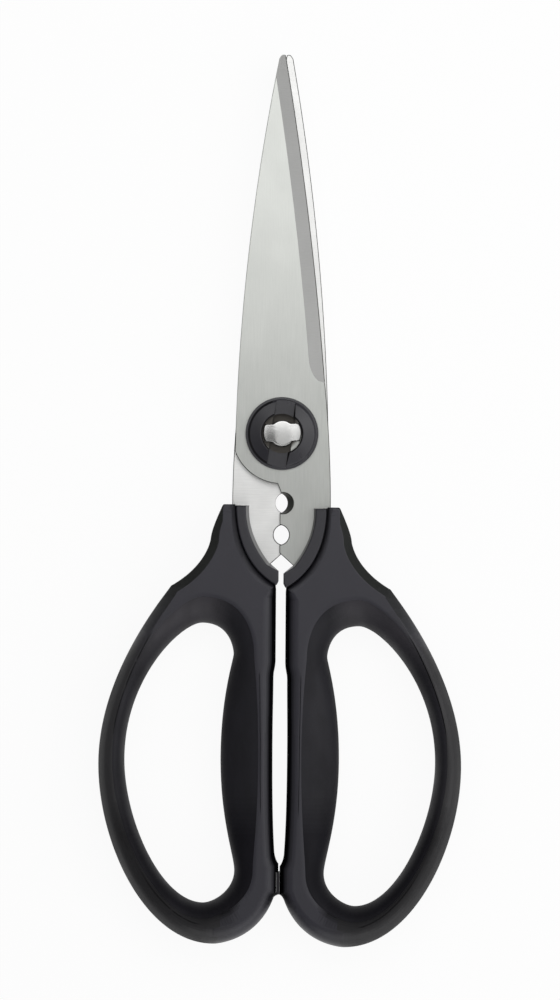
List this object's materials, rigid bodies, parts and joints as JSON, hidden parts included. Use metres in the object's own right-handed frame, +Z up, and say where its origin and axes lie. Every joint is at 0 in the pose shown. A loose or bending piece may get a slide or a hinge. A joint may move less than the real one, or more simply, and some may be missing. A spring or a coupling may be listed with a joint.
{
  "type": "herb scissors",
  "caption": "Take-apart kitchen scissors with a herb stripper of notches between the tangs, a keyed pivot and soft-lined finger loops.",
  "frame": {"origin": "under the middle of the object, on the surface it lies on", "axes": "+Z up, +Y from the loops to the tips, +X towards the loop of the front blade"},
  "size_m": [0.0904, 0.222, 0.0126],
  "materials": {
    "blade_steel": "brushed along the blade",
    "stud_steel": "finely ground",
    "hard_plastic": "moulded, slight sheen",
    "handle_plastic": "moulded, fine grain",
    "soft_rubber": "soft matt"
  },
  "bodies": {
    "rear_half": {"rear_blade": "blade_steel", "pivot_stud": "stud_steel", "left_collar_insert": "hard_plastic", "left_handle": "handle_plastic", "left_loop_cushion": "soft_rubber", "stop_pad": "soft_rubber"},
    "front_half": {"front_blade": "blade_steel", "pivot_ring": "hard_plastic", "right_collar_insert": "hard_plastic", "right_handle": "handle_plastic", "right_loop_cushion": "soft_rubber"}
  },
  "joints": [
    {"name": "blade_pivot", "type": "hinge", "parent": "rear_half", "child": "front_half", "pos_m": [0, 0.0167, 0.0063], "axis": [0, 0, 1], "range_deg": [0, 100]}
  ]
}
